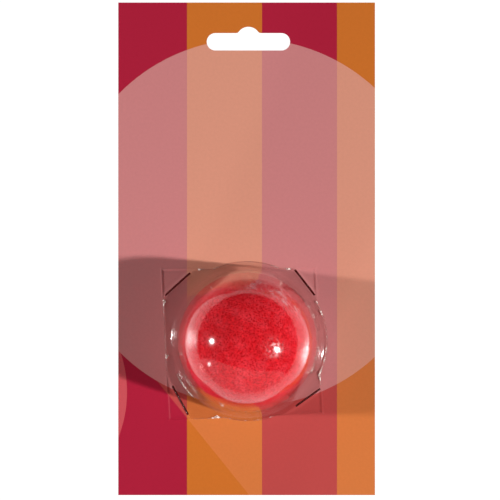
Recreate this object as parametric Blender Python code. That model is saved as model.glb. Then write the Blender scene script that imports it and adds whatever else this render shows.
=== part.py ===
"""Sponge clown nose held on a printed hang card by a clear formed blister.

The card lies on its back. +Z points out of its printed front, +Y runs up the card to its
hang hole, and the origin is on the surface below the middle of the card. Lengths are in
metres and angles in degrees.
"""

import math

import bmesh
import bpy
from mathutils import Matrix, Vector

# Clearances between neighbouring pieces
GAP = 0.0003
FOAM_FIT = 0.00035

# Card
CARD_WIDTH = 0.0985
CARD_LENGTH = 0.189
CARD_THICKNESS = 0.0005

# Hang hole: a slot with round ends and a raised crown in its middle
HOLE_WIDTH = 0.032
HOLE_HEIGHT = 0.0067
HOLE_CROWN_HEIGHT = 0.0091
HOLE_CROWN_RADIUS = 0.0046
HOLE_CROWN_FILLET = 0.0012
HOLE_MARGIN = 0.0184  # from the card's top edge down to the hole's lower edge
HOLE_X = 0.0007

# Nose: a foam ball that fills the skirt down to its waist, with a foot pressed flat on the card
NOSE_CROWN_RADIUS = 0.0243
NOSE_FOOT_RADIUS = 0.014
NOSE_HEIGHT = 0.0436
NOSE_WAIST_HEIGHT = 0.0095  # where it leaves the skirt
NOSE_WAIST_PULL = 0.0045  # how far it still heads down the skirt as it turns in
NOSE_FOOT_PULL = 0.0085  # how far it heads out along the card from the foot's rim

# Pocket for the wearer's nose: a lens-shaped mouth in the foot that narrows as it rises
POCKET_LENGTH = 0.026
POCKET_WIDTH = 0.012
POCKET_DEPTH = 0.028
POCKET_OVERRUN = 0.002  # how far the cutter sticks out below the foot
POCKET_SECTIONS = (
    # (share of depth, share of length, share of width)
    (0.0, 1.0, 1.0),
    (0.3, 0.96, 0.95),
    (0.6, 0.86, 0.84),
    (0.85, 0.68, 0.64),
    (1.0, 0.42, 0.34),
)

# Blister: a dome with a drafted skirt, a foot fillet and a turned rectangular flange
BLISTER_WALL = 0.00035
SKIRT_DRAFT = 10.0
FOOT_FILLET = 0.0016
FOOT_RIM = 0.0006  # flat rim left round the fillet where it bulges past the flange's side
DOME_X = 0.0003
DOME_Y = -0.0354
FLANGE_SIDE_TRIM = 0.0005696  # how far its left and right sides lie inside the foot's circle
FLANGE_END_TRIM = 0.0015696  # how far its upper and lower sides do
FLANGE_X = -0.0018
FLANGE_Y = -0.036
FLANGE_TURN = 2.8
FLANGE_TOP_SKEW = 2.4  # how far its upper side is turned back from the lower one
CORNER_FOLDS = (
    # (side across, side up, share of the width folded off, share of the length folded off,
    #  notch at the end on the width, notch at the end on the length)
    (1, 1, 0.137, 0.200, 0.0010, 0.0013),
    (-1, 1, 0.213, 0.185, 0.0025, 0.0015),
    (-1, -1, 0.140, 0.294, 0.0023, 0.0047),
    (1, -1, 0.247, 0.169, 0.0058, 0.0007),
)

# Facets
ROUND_STEPS = 64
CROWN_STEPS = 11
FLANK_STEPS = 3
LOWER_STEPS = 7
FILLET_STEPS = 3
ARC_STEPS = 10
SMOOTH_ANGLE = 35.0
MERGE_DISTANCE = 1e-7

# Levels, from the surface that the tabs lie on
TAB_TOP = BLISTER_WALL
CARD_BACK = TAB_TOP + GAP
CARD_FRONT = CARD_BACK + CARD_THICKNESS
FLANGE_TOP = CARD_FRONT + GAP + BLISTER_WALL
NOSE_FOOT = CARD_FRONT + GAP
CROWN_CENTRE = NOSE_FOOT + NOSE_HEIGHT - NOSE_CROWN_RADIUS
DOME_RADIUS = NOSE_CROWN_RADIUS + FOAM_FIT + BLISTER_WALL

# The fillet's centre line, a circle where the dome's foot ends, and the flange that follows it
FILLET_LEVEL = FLANGE_TOP + FOOT_FILLET
FOOT_RADIUS = (
    DOME_RADIUS + FOOT_FILLET + (CROWN_CENTRE - FILLET_LEVEL) * math.sin(math.radians(SKIRT_DRAFT))
) / math.cos(math.radians(SKIRT_DRAFT))
FLANGE_WIDTH = 2 * (FOOT_RADIUS - FLANGE_SIDE_TRIM)
FLANGE_LENGTH = 2 * (FOOT_RADIUS - FLANGE_END_TRIM)

DOME_CENTRE = Vector((DOME_X, DOME_Y))
FLANGE_CENTRE = Vector((FLANGE_X, FLANGE_Y))


def clear_scene():
    """Remove the objects that the scene starts with."""
    for obj in list(bpy.data.objects):
        bpy.data.objects.remove(obj, do_unlink=True)


def make_material(name, colour, roughness, alpha=1.0):
    """A Principled material of one colour."""
    material = bpy.data.materials.new(name)
    material.use_nodes = True
    shader = material.node_tree.nodes["Principled BSDF"]
    shader.inputs["Base Color"].default_value = (*colour, 1.0)
    shader.inputs["Roughness"].default_value = roughness
    shader.inputs["Metallic"].default_value = 0.0
    shader.inputs["Alpha"].default_value = alpha
    material.diffuse_color = (*colour, alpha)
    return material


def link_mesh(name, bm, material):
    """Put a bmesh into the scene as a smooth shaded object with sharp folds."""
    mesh = bpy.data.meshes.new(name)
    bm.to_mesh(mesh)
    bm.free()
    mesh.shade_smooth()
    mesh.set_sharp_from_angle(angle=math.radians(SMOOTH_ANGLE))
    if material is not None:
        mesh.materials.append(material)
    obj = bpy.data.objects.new(name, mesh)
    bpy.context.scene.collection.objects.link(obj)
    return obj


def arc(centre_x, centre_y, radius, start, end, steps):
    """Points along an arc, both ends included, with angles in degrees."""
    points = []
    for i in range(steps + 1):
        angle = math.radians(start + (end - start) * i / steps)
        points.append((centre_x + radius * math.cos(angle), centre_y + radius * math.sin(angle)))
    return points


# Nose

def curve_point(controls, share):
    """A point along the cubic curve that four control points give."""
    rest = 1 - share
    weights = (rest**3, 3 * rest**2 * share, 3 * rest * share**2, share**3)
    return tuple(
        sum(weight * point[axis] for weight, point in zip(weights, controls)) for axis in (0, 1)
    )


def nose_profile():
    """(radius, height) pairs from the top of the crown down to the rim of the foot."""
    draft = math.radians(SKIRT_DRAFT)
    crown_centre = NOSE_HEIGHT - NOSE_CROWN_RADIUS
    points = arc(0, crown_centre, NOSE_CROWN_RADIUS, 90, SKIRT_DRAFT, CROWN_STEPS)
    points[0] = (0.0, NOSE_HEIGHT)
    top_radius, top = points[-1]
    drop = top - NOSE_WAIST_HEIGHT
    for i in range(1, FLANK_STEPS + 1):
        way = drop * i / FLANK_STEPS
        points.append((top_radius + way * math.tan(draft), top - way))
    waist_radius = points[-1][0]
    controls = (
        points[-1],
        (
            waist_radius + NOSE_WAIST_PULL * math.sin(draft),
            NOSE_WAIST_HEIGHT - NOSE_WAIST_PULL * math.cos(draft),
        ),
        (NOSE_FOOT_RADIUS + NOSE_FOOT_PULL, 0.0),
        (NOSE_FOOT_RADIUS, 0.0),
    )
    points += [curve_point(controls, i / LOWER_STEPS) for i in range(1, LOWER_STEPS + 1)]
    return points


def lens_section(length, width, height):
    """A pointed oval along Y, made of two equal arcs that meet at its tips."""
    half_length = length / 2
    half_width = width / 2
    radius = (half_length**2 + half_width**2) / (2 * half_width)
    reach = math.degrees(math.asin(half_length / radius))
    offset = radius - half_width
    right = arc(-offset, 0, radius, -reach, reach, ARC_STEPS)
    left = arc(offset, 0, radius, 180 - reach, 180 + reach, ARC_STEPS)
    return [(x, y, height) for x, y in right[:-1] + left[:-1]]


def make_pocket_cutter():
    """The lofted lens-shaped body that the pocket is cut with."""
    bm = bmesh.new()
    sections = [lens_section(POCKET_LENGTH, POCKET_WIDTH, -POCKET_OVERRUN)]
    for depth, length, width in POCKET_SECTIONS:
        sections.append(
            lens_section(POCKET_LENGTH * length, POCKET_WIDTH * width, POCKET_DEPTH * depth)
        )
    rings = [[bm.verts.new(point) for point in section] for section in sections]
    count = len(rings[0])
    for below, above in zip(rings, rings[1:]):
        for i in range(count):
            j = (i + 1) % count
            bm.faces.new((below[i], below[j], above[j], above[i]))
    bm.faces.new(list(reversed(rings[0])))
    bm.faces.new(rings[-1])
    bmesh.ops.recalc_face_normals(bm, faces=bm.faces)
    cutter = link_mesh("pocket_cutter", bm, None)
    cutter.location = (DOME_X, DOME_Y, NOSE_FOOT)
    cutter.display_type = "WIRE"
    cutter.hide_render = True
    return cutter


def make_nose(material):
    """The foam ball, turned from its profile, with the pocket cut up into its foot."""
    bm = bmesh.new()
    verts = [bm.verts.new((radius, 0, height)) for radius, height in nose_profile()]
    edges = [bm.edges.new(pair) for pair in zip(verts, verts[1:])]
    bmesh.ops.spin(
        bm,
        geom=verts + edges,
        cent=(0, 0, 0),
        axis=(0, 0, 1),
        angle=math.tau,
        steps=ROUND_STEPS,
        use_merge=True,
    )
    bmesh.ops.remove_doubles(bm, verts=bm.verts, dist=MERGE_DISTANCE)
    foot = [edge for edge in bm.edges if edge.is_boundary]
    bmesh.ops.contextual_create(bm, geom=foot)
    bmesh.ops.recalc_face_normals(bm, faces=bm.faces)
    nose = link_mesh("nose", bm, material)
    nose.location = (DOME_X, DOME_Y, NOSE_FOOT)
    cut = nose.modifiers.new("pocket", "BOOLEAN")
    cut.operation = "DIFFERENCE"
    cut.object = make_pocket_cutter()
    return nose


# Blister

def flange_point(across_share, up_share):
    """A point given as shares of the flange's half sizes, in the card's axes."""
    across = across_share * FLANGE_WIDTH / 2
    skew = across * math.tan(math.radians(FLANGE_TOP_SKEW)) * (1 + up_share) / 2
    point = Vector((across, up_share * FLANGE_LENGTH / 2 - skew))
    return FLANGE_CENTRE + Matrix.Rotation(math.radians(FLANGE_TURN), 2) @ point


def corner_of(fold):
    """The corner of the flange that a fold turns down."""
    return flange_point(*fold[:2])


def fold_ends(fold):
    """The two points where a corner's fold line meets the flange's sides."""
    across, up, width_share, length_share = fold[:4]
    on_width = flange_point(across * (1 - 2 * width_share), up)
    on_length = flange_point(across, up * (1 - 2 * length_share))
    return on_width, on_length


def web_ends(fold):
    """The fold's ends once the notches are taken off, in order of turning to the left."""
    first, second = fold_ends(fold)
    width_notch, length_notch = fold[4:]
    along = (second - first).normalized()
    ends = [first + along * width_notch, second - along * length_notch]
    return sorted(ends, key=lambda point: bearing(point, corner_of(fold)))


def bearing(point, start=None):
    """Direction from the dome's centre to a point, in radians, past that of start if given."""
    way = point - DOME_CENTRE
    angle = math.atan2(way.y, way.x)
    if start is None:
        return angle % math.tau
    return (angle - bearing(start) + math.pi) % math.tau - math.pi


def reach_to_line(direction, first, second):
    """Distance from the dome's centre along a direction to a line, or infinity if it misses."""
    along = (second - first).normalized()
    normal = Vector((along.y, -along.x))
    distance = (first - DOME_CENTRE).dot(normal)
    if distance < 0:
        normal, distance = -normal, -distance
    facing = direction.dot(normal)
    return distance / facing if facing > 1e-9 else math.inf


def side_reach(direction):
    """Distance from the dome's centre to the edge of the whole rectangle."""
    corners = [corner_of(fold) for fold in CORNER_FOLDS]
    sides = zip(corners, corners[1:] + corners[:1])
    return min(reach_to_line(direction, *side) for side in sides)


def fold_reach(direction):
    """Distance from the dome's centre to the nearest fold line."""
    return min(reach_to_line(direction, *fold_ends(fold)) for fold in CORNER_FOLDS)


def dome_profile():
    """(radius, height) pairs of the outer face, from the top down to the end of the fillet."""
    points = arc(0, CROWN_CENTRE, DOME_RADIUS, 90, SKIRT_DRAFT, CROWN_STEPS)
    fillet = arc(FOOT_RADIUS, FILLET_LEVEL, FOOT_FILLET, 180 + SKIRT_DRAFT, 270, FILLET_STEPS)
    top_radius, top = points[-1]
    low_radius, low = fillet[0]
    for i in range(1, FLANK_STEPS + 1):
        share = i / (FLANK_STEPS + 1)
        points.append((top_radius + (low_radius - top_radius) * share, top + (low - top) * share))
    return points[1:] + fillet


def blister_directions():
    """Bearings of the sheet's radial lines: even steps, fold ends, web ends and corners."""
    fixed = []
    for fold in CORNER_FOLDS:
        fixed += [bearing(point) for point in (*fold_ends(fold), *web_ends(fold))]
        fixed.append(bearing(corner_of(fold)))
    step = math.tau / ROUND_STEPS
    even = []
    for i in range(ROUND_STEPS):
        near = min(abs((i * step - angle + math.pi) % math.tau - math.pi) for angle in fixed)
        if near > step * 0.4:
            even.append(i * step)
    return sorted(fixed + even)


def make_blister(material):
    """The formed sheet: dome, skirt, fillet, flange, and the webs and tabs at its corners."""
    bm = bmesh.new()
    angles = blister_directions()
    directions = [Vector((math.cos(angle), math.sin(angle))) for angle in angles]
    count = len(angles)

    def ring(reach, height):
        points = [DOME_CENTRE + way * reach(way) for way in directions]
        return [bm.verts.new((point.x, point.y, height)) for point in points]

    def bridge(inner, outer, i):
        j = (i + 1) % count
        bm.faces.new((inner[i], outer[i], outer[j], inner[j]))

    profile = dome_profile()
    foot_reach = FOOT_RADIUS + FOOT_RIM
    rings = [ring(lambda way, radius=radius: radius, height) for radius, height in profile]
    rings.append(
        ring(lambda way: min(max(side_reach(way), foot_reach), fold_reach(way)), FLANGE_TOP)
    )
    apex = bm.verts.new((DOME_X, DOME_Y, CROWN_CENTRE + DOME_RADIUS))
    for i in range(count):
        bm.faces.new((apex, rings[0][i], rings[0][(i + 1) % count]))
    for inner, outer in zip(rings, rings[1:]):
        for i in range(count):
            bridge(inner, outer, i)
    web_foot = ring(fold_reach, TAB_TOP)
    tab_edge = ring(side_reach, TAB_TOP)
    for fold in CORNER_FOLDS:
        start, end = (angles.index(bearing(point)) for point in web_ends(fold))
        steps = (end - start) % count
        for i in range(start, start + steps):
            bridge(rings[-1], web_foot, i % count)
            bridge(web_foot, tab_edge, i % count)
    loose = [vert for vert in bm.verts if not vert.link_faces]
    bmesh.ops.delete(bm, geom=loose, context="VERTS")
    blister = link_mesh("blister", bm, material)
    wall = blister.modifiers.new("wall", "SOLIDIFY")
    wall.thickness = BLISTER_WALL
    wall.offset = -1.0
    wall.use_even_offset = True
    wall.use_quality_normals = True
    return blister


# Card

def hang_hole_outline():
    """The hang hole, counter-clockwise from the right end of its lower edge."""
    end_radius = HOLE_HEIGHT / 2
    end_x = HOLE_WIDTH / 2 - end_radius
    crown_y = HOLE_CROWN_HEIGHT - HOLE_CROWN_RADIUS
    fillet_y = HOLE_HEIGHT + HOLE_CROWN_FILLET
    rise = fillet_y - crown_y
    fillet_x = math.sqrt((HOLE_CROWN_RADIUS + HOLE_CROWN_FILLET) ** 2 - rise**2)
    lean = math.degrees(math.atan2(rise, fillet_x))
    points = arc(end_x, end_radius, end_radius, -90, 90, ARC_STEPS)
    points += arc(fillet_x, fillet_y, HOLE_CROWN_FILLET, 270, 180 + lean, FILLET_STEPS)
    points += arc(0, crown_y, HOLE_CROWN_RADIUS, lean, 180 - lean, ARC_STEPS)[1:-1]
    points += arc(-fillet_x, fillet_y, HOLE_CROWN_FILLET, -lean, -90, FILLET_STEPS)
    points += arc(-end_x, end_radius, end_radius, 90, 270, ARC_STEPS)
    low = CARD_LENGTH / 2 - HOLE_MARGIN
    return [(HOLE_X + x, low + y) for x, y in points]


def slot_outline(fold):
    """The round-ended slot that a corner's web passes through, with a gap on each side."""
    first, second = web_ends(fold)
    along = (second - first).normalized()
    inward = Vector((-along.y, along.x))
    if (DOME_CENTRE - first).dot(inward) < 0:
        inward = -inward
    half_width = BLISTER_WALL / 2 + GAP
    shift = inward * BLISTER_WALL / 2
    turn = math.degrees(math.atan2(along.y, along.x))
    near = first + shift
    far = second + shift
    points = arc(near.x, near.y, half_width, turn + 90, turn + 270, FILLET_STEPS + 2)
    points += arc(far.x, far.y, half_width, turn - 90, turn + 90, FILLET_STEPS + 2)
    return points


def make_card(material):
    """The die-cut board: a filled flat outline with its holes, given the board's thickness."""
    half_width = CARD_WIDTH / 2
    half_length = CARD_LENGTH / 2
    edge = [
        (-half_width, -half_length),
        (half_width, -half_length),
        (half_width, half_length),
        (-half_width, half_length),
    ]
    curve = bpy.data.curves.new("card", "CURVE")
    curve.dimensions = "2D"
    curve.fill_mode = "BOTH"
    curve.extrude = CARD_THICKNESS / 2
    for outline in [edge, hang_hole_outline()] + [slot_outline(fold) for fold in CORNER_FOLDS]:
        spline = curve.splines.new("POLY")
        spline.points.add(len(outline) - 1)
        for point, (x, y) in zip(spline.points, outline):
            point.co = (x, y, 0, 1)
        spline.use_cyclic_u = True
    curve.materials.append(material)
    card = bpy.data.objects.new("card", curve)
    card.location.z = (CARD_BACK + CARD_FRONT) / 2
    bpy.context.scene.collection.objects.link(card)
    return card


def main():
    """Build the three pieces."""
    clear_scene()
    make_nose(make_material("red_foam", (0.58, 0.012, 0.02), 0.95))
    make_blister(make_material("clear_plastic", (0.92, 0.95, 0.96), 0.05, alpha=0.25))
    make_card(make_material("printed_board", (0.55, 0.16, 0.08), 0.35))


main()
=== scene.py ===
"""Looks of a red foam clown nose held on a striped hang card by a clear formed blister.

The card lies on its back with its printed front up. +X is to the right of the print, +Y runs
up the card to its hang hole and +Z points out of the front. Lengths are in metres and angles
in degrees unless a name says otherwise. Every piece is a surface worked out with numpy, in
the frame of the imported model.
"""

import itertools
import logging
import math
from dataclasses import dataclass
from enum import Enum

import bpy
import numpy as np
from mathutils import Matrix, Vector


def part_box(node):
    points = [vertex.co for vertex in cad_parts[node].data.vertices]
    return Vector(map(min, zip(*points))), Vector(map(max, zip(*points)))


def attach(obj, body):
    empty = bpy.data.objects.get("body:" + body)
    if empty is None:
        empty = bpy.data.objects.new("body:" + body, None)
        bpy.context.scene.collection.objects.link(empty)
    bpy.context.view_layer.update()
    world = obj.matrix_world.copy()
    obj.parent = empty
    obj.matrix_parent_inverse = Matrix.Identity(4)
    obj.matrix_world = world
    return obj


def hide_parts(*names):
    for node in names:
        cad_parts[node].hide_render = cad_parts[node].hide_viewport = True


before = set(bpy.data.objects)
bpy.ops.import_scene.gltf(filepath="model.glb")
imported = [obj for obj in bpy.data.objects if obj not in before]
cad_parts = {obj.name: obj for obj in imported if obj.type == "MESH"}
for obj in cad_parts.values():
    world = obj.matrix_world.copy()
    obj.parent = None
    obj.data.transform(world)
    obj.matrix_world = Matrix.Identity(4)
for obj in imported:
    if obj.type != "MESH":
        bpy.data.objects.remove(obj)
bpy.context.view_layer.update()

log = logging.getLogger("clown_nose")

Colour = tuple[float, float, float]
Point = tuple[float, float]
Socket = float | bpy.types.NodeSocket

BODY = "root"

# Attributes of the sheet: 1 where its cut edge is crushed and carries painted glints, 1 where its
# dome is crumpled, and the place of the crumpled lines in degrees
CRUSH_GLINT = "crush_glint"
CRUMPLE = "crumple"
CRUMPLE_LINES = "crumple_lines"

# Thickness of the clear sheet, as in the solids
WALL = 0.00035


class Slot(Enum):
    """Names of the record's material slots for the foam, the sheet and the board."""

    FOAM = "red_foam"
    SHEET = "clear_plastic"
    BOARD = "printed_board"


# Numbers and meshes

def turned(points: np.ndarray, degrees: float) -> np.ndarray:
    """Points of the plane turned to the left about the origin.

    Args:
        points: (n, 2) array.
        degrees: angle of the turn.

    Returns:
        (n, 2) array: x cos - y sin and x sin + y cos.
    """
    angle = math.radians(degrees)
    cos, sin = math.cos(angle), math.sin(angle)
    return points @ np.array([[cos, sin], [-sin, cos]])


def eased(values: np.ndarray, low: float, high: float) -> np.ndarray:
    """A smooth step from 0 to 1.

    Args:
        values: any array.
        low: where the step starts.
        high: where it ends.

    Returns:
        3 t^2 - 2 t^3 with t the share of the way from low to high, kept from 0 to 1.
    """
    share = np.clip((values - low) / (high - low), 0.0, 1.0)
    return share * share * (3.0 - 2.0 * share)


def evenly_spaced(profile: np.ndarray, count: int) -> np.ndarray:
    """A polyline's points set out again at equal steps of its length.

    Args:
        profile: (n, 2) array of points in order.
        count: how many points the result has, both ends included.

    Returns:
        (count, 2) array, read off the polyline at equal lengths along it.
    """
    steps = np.hypot(*np.diff(profile, axis=0).T)
    along = np.concatenate([[0.0], np.cumsum(steps)])
    wanted = np.linspace(0.0, along[-1], count)
    return np.stack([np.interp(wanted, along, axis) for axis in profile.T], axis=1)


def arc(centre: Point, radius: float, start: float, end: float, steps: int) -> np.ndarray:
    """Points along an arc.

    Args:
        centre: its centre.
        radius: its radius.
        start: first angle.
        end: last angle.
        steps: how many chords it has.

    Returns:
        (steps + 1, 2) array: centre + radius (cos, sin).
    """
    angles = np.radians(np.linspace(start, end, steps + 1))
    return np.array(centre) + radius * np.stack([np.cos(angles), np.sin(angles)], axis=1)


class LatticeNoise:
    """Smooth noise from seeded random values on the corners of a cubic lattice."""

    def __init__(self, seed: int, size: int = 48) -> None:
        """Draw the lattice's values.

        Args:
            seed: seed of the draw.
            size: lattice points on a side, after which the noise repeats.
        """
        self.size = size
        self.values = np.random.default_rng(seed).uniform(-1.0, 1.0, (size, size, size))

    def __call__(self, points: np.ndarray, cell: float) -> np.ndarray:
        """The noise at some points.

        Args:
            points: (n, 3) array.
            cell: edge of a lattice cell.

        Returns:
            (n,) array from -1 to 1: the eight corner values of a point's cell, blended with
            weights that ease in and out along each axis.
        """
        scaled = points / cell
        low = np.floor(scaled).astype(int)
        share = eased(scaled - low, 0.0, 1.0)
        total = np.zeros(len(points))
        for corner in itertools.product((0, 1), repeat=3):
            x, y, z = ((low + corner) % self.size).T
            weight = np.prod(np.where(corner, share, 1.0 - share), axis=1)
            total += weight * self.values[x, y, z]
        return total


def grid_quads(rows: int, columns: int, closed: bool) -> np.ndarray:
    """Quads between the vertices of a grid that are numbered row by row.

    Args:
        rows: rows of vertices.
        columns: vertices in a row.
        closed: whether the last column joins the first.

    Returns:
        (n, 4) array of vertex numbers. They face up where rows run outwards and columns run
        counter-clockwise.
    """
    numbers = np.arange(rows * columns).reshape(rows, columns)
    if closed:
        numbers = np.concatenate([numbers, numbers[:, :1]], axis=1)
    corners = (numbers[:-1, :-1], numbers[1:, :-1], numbers[1:, 1:], numbers[:-1, 1:])
    return np.stack(corners, axis=-1).reshape(-1, 4)


def fan(pole: int, ring: np.ndarray) -> np.ndarray:
    """Triangles that close a ring of vertices with one pole.

    Args:
        pole: number of the pole's vertex.
        ring: numbers of the ring's vertices, counter-clockwise as seen from outside.

    Returns:
        (n, 3) array of vertex numbers.
    """
    return np.stack([np.full(len(ring), pole), ring, np.roll(ring, -1)], axis=1)


def make_object(name: str, points: np.ndarray, faces: list[np.ndarray]) -> bpy.types.Object:
    """Put vertices and faces into a new smooth shaded object at the origin.

    Args:
        name: the object's name.
        points: (n, 3) array of vertices.
        faces: arrays of vertex numbers, each with one number of corners to a face.

    Returns:
        The object, linked to the scene.
    """
    corners = np.concatenate([part.ravel() for part in faces])
    totals = np.concatenate([np.full(len(part), part.shape[1]) for part in faces])
    mesh = bpy.data.meshes.new(name)
    mesh.vertices.add(len(points))
    mesh.vertices.foreach_set("co", points.astype(np.float32).ravel())
    mesh.loops.add(len(corners))
    mesh.loops.foreach_set("vertex_index", corners.astype(np.int32))
    mesh.polygons.add(len(totals))
    mesh.polygons.foreach_set("loop_start", (np.cumsum(totals) - totals).astype(np.int32))
    mesh.update(calc_edges=True)
    mesh.validate()
    mesh.shade_smooth()
    obj = bpy.data.objects.new(name, mesh)
    bpy.context.scene.collection.objects.link(obj)
    return obj


def settle(obj: bpy.types.Object) -> None:
    """Put an object's modifiers into its mesh.

    Args:
        obj: the object, which has no modifiers afterwards.
    """
    graph = bpy.context.evaluated_depsgraph_get()
    mesh = bpy.data.meshes.new_from_object(obj.evaluated_get(graph))
    obj.modifiers.clear()
    obj.data = mesh


def prisms(outlines: list[np.ndarray], low: float, high: float) -> bpy.types.Object:
    """Upright prisms in one object.

    Args:
        outlines: (n, 2) arrays, each a closed outline that runs counter-clockwise.
        low: height of the lower ends.
        high: height of the upper ends.

    Returns:
        The object.
    """
    points: list[np.ndarray] = []
    faces: list[np.ndarray] = []
    first = 0
    for outline in outlines:
        count = len(outline)
        points += [np.insert(outline, 2, level, axis=1) for level in (low, high)]
        lower = np.arange(first, first + count)
        upper = lower + count
        sides = (lower, np.roll(lower, -1), np.roll(upper, -1), upper)
        faces += [np.stack(sides, axis=1), lower[None, ::-1], upper[None]]
        first += 2 * count
    return make_object("prisms", np.concatenate(points), faces)


def face_values(mesh: bpy.types.Mesh, name: str) -> np.ndarray:
    """Read a vector of each face of a mesh.

    Args:
        mesh: the mesh.
        name: "normal" or "center".

    Returns:
        (n, 3) array.
    """
    values = np.empty(len(mesh.polygons) * 3, dtype=np.float32)
    mesh.polygons.foreach_get(name, values)
    return values.reshape(-1, 3)


def vertices(mesh: bpy.types.Mesh) -> np.ndarray:
    """Read a mesh's vertices.

    Args:
        mesh: the mesh.

    Returns:
        (n, 3) array.
    """
    values = np.empty(len(mesh.vertices) * 3, dtype=np.float32)
    mesh.vertices.foreach_get("co", values)
    return values.reshape(-1, 3)


def add_piece(
    obj: bpy.types.Object, node: str, materials: list[bpy.types.Material]
) -> None:
    """Give a finished piece its place on the part.

    Args:
        obj: the piece.
        node: the solid that it stands for.
        materials: its materials, in the order of its faces' indices.
    """
    obj.data.materials.clear()
    for material in materials:
        obj.data.materials.append(material)
    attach(obj, BODY)
    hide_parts(node)
    log.info("%s stands for %s, with %d faces", obj.name, node, len(obj.data.polygons))


# Materials

class Graph:
    """A material's node graph, with short ways to add to it."""

    def __init__(self, name: str) -> None:
        """Start an empty graph in a new material.

        Args:
            name: the material's name.
        """
        self.material = bpy.data.materials.new(name)
        self.material.use_nodes = True
        self.tree = self.material.node_tree
        self.tree.nodes.clear()
        self.output = self.tree.nodes.new("ShaderNodeOutputMaterial")

    def node(self, kind: str, inputs: dict | None = None, **settings: object) -> bpy.types.Node:
        """Add a node.

        Args:
            kind: the node's type.
            inputs: a value or a socket for each input, by name or number.
            settings: the node's own settings.

        Returns:
            The node.
        """
        node = self.tree.nodes.new(kind)
        for key, value in settings.items():
            setattr(node, key, value)
        for key, value in (inputs or {}).items():
            self.feed(node.inputs[key], value)
        return node

    def feed(self, entry: bpy.types.NodeSocket, value: object) -> None:
        """Link a socket to an input, or set the input to a value.

        Args:
            entry: the input.
            value: an output socket, a number, a colour or a vector.
        """
        if isinstance(value, bpy.types.NodeSocket):
            self.tree.links.new(value, entry)
        elif entry.type == "RGBA":
            entry.default_value = (*value[:3], 1.0)
        else:
            entry.default_value = value

    def place(self) -> bpy.types.NodeSocket:
        """The surface point, in the object's own coordinates."""
        return self.node("ShaderNodeTexCoord").outputs["Object"]

    def facing(self) -> bpy.types.NodeSocket:
        """How far the surface is turned away: 0 seen straight on, 1 at its edge."""
        return self.node("ShaderNodeLayerWeight", {"Blend": 0.5}).outputs["Facing"]

    def attribute(self, name: str) -> bpy.types.NodeSocket:
        """The value of one of the piece's own attributes."""
        return self.node("ShaderNodeAttribute", attribute_name=name).outputs["Fac"]

    def distance(
        self, place: bpy.types.NodeSocket, point: tuple[float, float, float]
    ) -> bpy.types.NodeSocket:
        """The distance of the surface point from a fixed one."""
        inputs = {0: place, 1: point}
        return self.node("ShaderNodeVectorMath", inputs, operation="DISTANCE").outputs["Value"]

    def math(
        self, operation: str, a: Socket, b: Socket = 0.0, c: Socket = 0.0
    ) -> bpy.types.NodeSocket:
        """One step of arithmetic.

        Args:
            operation: the Math node's operation.
            a: first value.
            b: second value.
            c: third value, where the operation has one.

        Returns:
            The result.
        """
        inputs = {0: a, 1: b, 2: c}
        return self.node("ShaderNodeMath", inputs, operation=operation).outputs[0]

    def step(self, value: Socket, low: float, high: float) -> bpy.types.NodeSocket:
        """A smooth step of a value from 0 to 1.

        Args:
            value: the value.
            low: where the step starts.
            high: where it ends, which may be below its start.

        Returns:
            The step.
        """
        inputs = {"Value": value, "From Min": low, "From Max": high}
        node = self.node(
            "ShaderNodeMapRange", inputs, interpolation_type="SMOOTHSTEP", clamp=True
        )
        return node.outputs["Result"]

    def mix(
        self, factor: Socket, a: object, b: object, blend: str = "MIX"
    ) -> bpy.types.NodeSocket:
        """Mix two colours.

        Args:
            factor: share of the second colour.
            a: first colour.
            b: second colour.
            blend: the way of mixing.

        Returns:
            The mixed colour.
        """
        node = self.node("ShaderNodeMix", {0: factor}, data_type="RGBA", blend_type=blend)
        self.feed(node.inputs[6], a)
        self.feed(node.inputs[7], b)
        return node.outputs[2]

    def noise(
        self, place: bpy.types.NodeSocket, size: float, detail: float = 2.0, rough: float = 0.5
    ) -> bpy.types.NodeSocket:
        """Noise from 0 to 1.

        Args:
            place: the coordinates that it is read at.
            size: about the size of its blotches.
            detail: octaves of finer noise.
            rough: strength of each octave against the one before.

        Returns:
            The noise.
        """
        inputs = {"Vector": place, "Scale": 1.0 / size, "Detail": detail, "Roughness": rough}
        return self.node("ShaderNodeTexNoise", inputs).outputs[0]

    def cells(
        self, place: bpy.types.NodeSocket, size: float, smooth: float = 0.2
    ) -> bpy.types.NodeSocket:
        """Distance to the nearest point of a scatter, as a share of its spacing.

        Args:
            place: the coordinates that it is read at.
            size: spacing of the scatter.
            smooth: how much neighbouring cells melt together.

        Returns:
            The distance, 0 in the middle of a cell.
        """
        inputs = {"Vector": place, "Scale": 1.0 / size, "Smoothness": smooth}
        return self.node("ShaderNodeTexVoronoi", inputs, feature="SMOOTH_F1").outputs["Distance"]

    def bump(self, height: bpy.types.NodeSocket, depth: float) -> bpy.types.NodeSocket:
        """A normal bent by a height from 0 to 1, where 1 stands above 0 by the depth."""
        node = self.node("ShaderNodeBump", {"Height": height, "Distance": depth})
        return node.outputs["Normal"]

    def blend(
        self, share: Socket, first: bpy.types.Node, second: bpy.types.Node
    ) -> bpy.types.Node:
        """Two shaders mixed, with the second one's share given."""
        inputs = {0: share, 1: first.outputs[0], 2: second.outputs[0]}
        return self.node("ShaderNodeMixShader", inputs)

    def finish(self, shader: bpy.types.Node) -> bpy.types.Material:
        """Send a shader to the output and give the material."""
        self.tree.links.new(shader.outputs[0], self.output.inputs["Surface"])
        return self.material


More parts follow.
